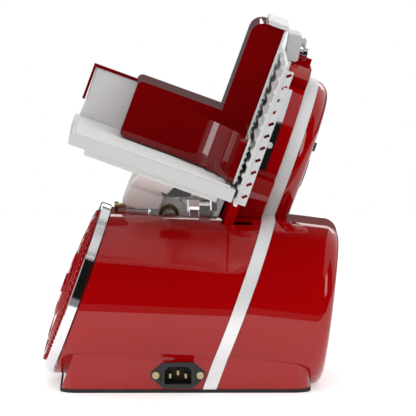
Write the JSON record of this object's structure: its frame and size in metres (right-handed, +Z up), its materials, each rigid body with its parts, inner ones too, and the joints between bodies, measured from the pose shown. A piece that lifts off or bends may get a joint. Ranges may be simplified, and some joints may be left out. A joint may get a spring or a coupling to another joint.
{
  "type": "meat slicer",
  "caption": "Retro drum-bodied gravity slicer with a tilted round blade, sliding food tray and pusher, thickness plate set by a front dial, and a sharpener.",
  "frame": {"origin": "centre of the plinth's footprint, on the face of the rubber pad that rests on the table", "axes": "+X towards the side the slices fall on, +Y away from the side with the power inlet, +Z up"},
  "size_m": [0.2691, 0.3726, 0.3359],
  "materials": {
    "red_enamel": "high gloss oven enamel",
    "cast_aluminium": "satin",
    "chrome": "polished",
    "steel": "ground",
    "dark_steel": "blackened",
    "black_plastic": "fine grain",
    "grey_plastic": "fine grain",
    "rubber": "matte",
    "brass": "machined",
    "zinc": "yellow passivated",
    "board": "solder mask",
    "green_plastic": "gloss",
    "red_plastic": "gloss",
    "satin_grey": "satin painted",
    "stone": "vitrified abrasive",
    "blade_steel": "mirror ground",
    "anodised": "natural anodised",
    "cast_white": "polished casting"
  },
  "bodies": {
    "base": {"base_pad": "rubber", "bottom_plate": "steel", "base_screws": "steel", "front_shell": "red_enamel", "rear_shell": "red_enamel", "trim_strap": "cast_aluminium", "column": "red_enamel", "column_screw": "dark_steel", "blade_housing": "red_enamel", "ring_guard": "red_enamel", "slice_deflector": "chrome", "deflector_screws": "chrome", "power_inlet": "black_plastic", "inlet_pins": "brass", "inlet_screws": "zinc", "motor_can": "dark_steel", "motor_bells": "cast_aluminium", "motor_bracket": "steel", "control_board": "board", "drive_belt": "rubber", "bearing_sleeve": "brass", "slide_rod": "steel", "rail_bracket": "cast_aluminium", "guide_bar": "steel", "gauge_rods": "steel", "switch_plate": "black_plastic", "button_springs": "steel", "sharpener_body": "satin_grey", "sharpener_knob": "chrome", "sharpener_stones": "stone"},
    "blade_set": {"blade": "blade_steel", "blade_screws": "steel", "blade_shaft": "steel", "blade_pulley": "cast_aluminium"},
    "motor_rotor": {"motor_shaft": "steel", "motor_pulley": "dark_steel"},
    "cover_set": {"blade_cover": "cast_aluminium", "cover_tie": "steel", "cover_knob": "black_plastic"},
    "dial_set": {"dial_ring": "chrome", "dial_disc": "red_enamel", "dial_screw": "steel"},
    "gauge_set": {"gauge_plate": "anodised", "gauge_carrier": "cast_aluminium"},
    "carriage": {"tray": "anodised", "far_wall": "anodised", "wall_trim": "red_enamel", "carriage_arm": "cast_white", "arm_bushes": "brass", "tray_block": "grey_plastic", "arm_clamp": "zinc", "pusher_rod": "steel"},
    "pusher": {"pusher_shell": "red_enamel", "pusher_bush": "brass", "grip_plate": "chrome", "pusher_cap": "chrome"},
    "start": {"start_button": "green_plastic"},
    "stop": {"stop_button": "red_plastic"},
    "grind": {"grind_button": "black_plastic"},
    "hone": {"hone_button": "black_plastic"}
  },
  "joints": [
    {"name": "blade_spin", "type": "hinge", "parent": "base", "child": "blade_set", "pos_m": [0.05119, 0.075, 0.20109], "axis": [0.9397, 0, -0.342], "continuous": true},
    {"name": "motor_spin", "type": "hinge", "parent": "base", "child": "motor_rotor", "pos_m": [0.00536, 0.04, 0.07518], "axis": [0.9397, 0, -0.342], "continuous": true},
    {"name": "cover_turn", "type": "hinge", "parent": "base", "child": "cover_set", "pos_m": [0.05119, 0.075, 0.20109], "axis": [0.9397, 0, -0.342], "range_deg": [0, 720]},
    {"name": "dial_turn", "type": "hinge", "parent": "base", "child": "dial_set", "pos_m": [-0.09767, 0, 0.08448], "axis": [0.9397, 0, -0.342], "range_deg": [0, 270]},
    {"name": "gauge_slide", "type": "slide", "parent": "base", "child": "gauge_set", "axis": [0.9397, 0, -0.342], "range_m": [0, 0.014]},
    {"name": "carriage_slide", "type": "slide", "parent": "base", "child": "carriage", "axis": [0, 1, 0], "range_m": [0, 0.15]},
    {"name": "pusher_slide", "type": "slide", "parent": "carriage", "child": "pusher", "axis": [-0.9397, 0, 0.342], "range_m": [0, 0.09]},
    {"name": "start_press", "type": "slide", "parent": "base", "child": "start", "axis": [0, -1, 0], "range_m": [0, 0.0025], "stiffness_N_per_m": 400, "springref_m": -0.003},
    {"name": "stop_press", "type": "slide", "parent": "base", "child": "stop", "axis": [0, -1, 0], "range_m": [0, 0.0025], "stiffness_N_per_m": 400, "springref_m": -0.003},
    {"name": "grind_press", "type": "slide", "parent": "base", "child": "grind", "axis": [-0.9816, 0, 0.1908], "range_m": [0, 0.0025], "stiffness_N_per_m": 300, "springref_m": -0.003},
    {"name": "hone_press", "type": "slide", "parent": "base", "child": "hone", "axis": [-0.9816, 0, 0.1908], "range_m": [0, 0.0025], "stiffness_N_per_m": 300, "springref_m": -0.003}
  ],
  "couplings": [
    {"joint": "motor_spin", "follows": "blade_spin", "ratio": 3.1579},
    {"joint": "gauge_slide", "follows": "dial_turn", "m_per_rad": 0.00297}
  ]
}
